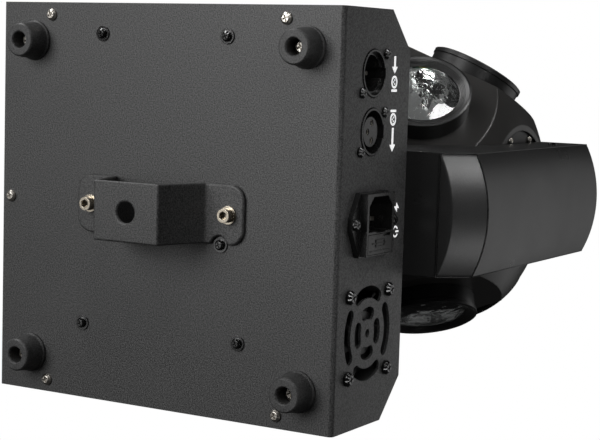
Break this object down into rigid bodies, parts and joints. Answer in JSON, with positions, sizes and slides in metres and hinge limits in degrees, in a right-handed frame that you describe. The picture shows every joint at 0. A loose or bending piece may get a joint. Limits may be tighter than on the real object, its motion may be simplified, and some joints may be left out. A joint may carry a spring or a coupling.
{
  "type": "moving head stage light",
  "caption": "Moving head stage light: sheet-metal base with a hanging bracket, U-shaped panning yoke and a tilting ball head with raised lens rings",
  "frame": {"origin": "centre of the clamp hole, on the outer face of the hanging bracket", "axes": "+Z from the bracket through the base to the head along the pan axis, +Y out of the socket panel, +X to the data socket side"},
  "size_m": [0.206, 0.28, 0.3455],
  "materials": {
    "powder_coat": "fine textured black powder coat",
    "foot_rubber": "matt",
    "nickel_screws": "nickel plated",
    "zinc_bolts": "zinc plated",
    "black_screws": "black oxide",
    "socket_plastic": "satin black",
    "contact_metal": "plated",
    "fuse_glass": "clear",
    "fan_plastic": "matt",
    "circuit_board": "solder mask",
    "power_part_plastic": "matt",
    "window_plastic": "clear gloss",
    "button_plastic": "satin",
    "plain_steel": "bright steel",
    "motor_steel": "lamination steel",
    "pulley_aluminium": "turned",
    "belt_rubber": "matt",
    "slip_ring_plastic": "moulded",
    "yoke_paint": "smooth satin black",
    "head_plastic": "satin black",
    "cap_metal": "matt black",
    "ring_plastic": "gloss black",
    "lens_glass": "clear",
    "reflector_chrome": "mirror bright"
  },
  "bodies": {
    "base": {"base_chassis": "powder_coat", "base_cover": "powder_coat", "rubber_feet": "foot_rubber", "foot_screws": "nickel_screws", "cover_screws": "nickel_screws", "plate_screws": "black_screws", "hanging_bracket": "powder_coat", "bracket_bolts": "zinc_bolts", "data_in_shell": "socket_plastic", "data_in_pins": "contact_metal", "data_out_shell": "socket_plastic", "data_out_contacts": "contact_metal", "socket_screws": "black_screws", "mains_inlet": "socket_plastic", "inlet_blades": "contact_metal", "inlet_screws": "black_screws", "fan_housing": "fan_plastic", "fan_screws": "black_screws", "power_board": "circuit_board", "power_parts": "power_part_plastic", "control_board": "circuit_board", "display_window": "window_plastic", "pan_plate": "plain_steel", "pan_motor": "motor_steel", "pan_belt": "belt_rubber", "pan_bearings": "plain_steel", "slip_ring": "slip_ring_plastic"},
    "yoke": {"yoke_frame": "yoke_paint", "arm_cover_left": "yoke_paint", "arm_cover_right": "yoke_paint", "arm_screws": "black_screws", "pan_shaft": "plain_steel", "pan_pulley": "pulley_aluminium", "tilt_motor": "motor_steel", "tilt_belt": "belt_rubber", "tilt_bearings": "plain_steel", "driver_board": "circuit_board"},
    "head": {"head_core": "pulley_aluminium", "head_shell_left": "head_plastic", "head_shell_right": "head_plastic", "end_caps": "cap_metal", "end_cap_screws": "nickel_screws", "lens_rings": "ring_plastic", "lenses": "lens_glass", "reflectors": "reflector_chrome", "led_boards": "circuit_board", "tilt_shafts": "plain_steel", "tilt_pulley": "pulley_aluminium"},
    "pan_motor_pulley": {"pan_motor_pulley": "pulley_aluminium"},
    "tilt_motor_pulley": {"tilt_motor_pulley": "pulley_aluminium"},
    "fan_rotor": {"fan_rotor": "fan_plastic"},
    "fuse_drawer": {"fuse_drawer": "socket_plastic", "fuse": "fuse_glass"},
    "data_out_latch": {"data_out_latch": "socket_plastic"},
    "menu_button_1": {"menu_button_1": "button_plastic"},
    "menu_button_2": {"menu_button_2": "button_plastic"},
    "menu_button_3": {"menu_button_3": "button_plastic"},
    "menu_button_4": {"menu_button_4": "button_plastic"}
  },
  "joints": [
    {"name": "pan", "type": "hinge", "parent": "base", "child": "yoke", "pos_m": [0, 0, 0.1], "axis": [0, 0, 1], "continuous": true},
    {"name": "tilt", "type": "hinge", "parent": "yoke", "child": "head", "pos_m": [0, 0, 0.252], "axis": [0, 1, 0], "continuous": true},
    {"name": "pan_motor_spin", "type": "hinge", "parent": "base", "child": "pan_motor_pulley", "pos_m": [0, -0.066, 0.08], "axis": [0, 0, 1], "continuous": true},
    {"name": "tilt_motor_spin", "type": "hinge", "parent": "yoke", "child": "tilt_motor_pulley", "pos_m": [0, 0.128, 0.176], "axis": [0, 1, 0], "continuous": true},
    {"name": "fan_spin", "type": "hinge", "parent": "base", "child": "fan_rotor", "pos_m": [-0.0565, 0.094, 0.063], "axis": [0, 1, 0], "continuous": true},
    {"name": "fuse_drawer_slide", "type": "slide", "parent": "base", "child": "fuse_drawer", "axis": [0, 1, 0], "range_m": [0, 0.016]},
    {"name": "data_latch_press", "type": "slide", "parent": "base", "child": "data_out_latch", "axis": [0, -1, 0], "range_m": [0, 0.002], "stiffness_N_per_m": 400},
    {"name": "menu_button_1_press", "type": "slide", "parent": "base", "child": "menu_button_1", "axis": [0, 1, 0], "range_m": [0, 0.001], "stiffness_N_per_m": 600},
    {"name": "menu_button_2_press", "type": "slide", "parent": "base", "child": "menu_button_2", "axis": [0, 1, 0], "range_m": [0, 0.001], "stiffness_N_per_m": 600},
    {"name": "menu_button_3_press", "type": "slide", "parent": "base", "child": "menu_button_3", "axis": [0, 1, 0], "range_m": [0, 0.001], "stiffness_N_per_m": 600},
    {"name": "menu_button_4_press", "type": "slide", "parent": "base", "child": "menu_button_4", "axis": [0, 1, 0], "range_m": [0, 0.001], "stiffness_N_per_m": 600}
  ],
  "couplings": [
    {"joint": "pan_motor_spin", "follows": "pan", "ratio": 4.75},
    {"joint": "tilt_motor_spin", "follows": "tilt", "ratio": 3.1429}
  ]
}
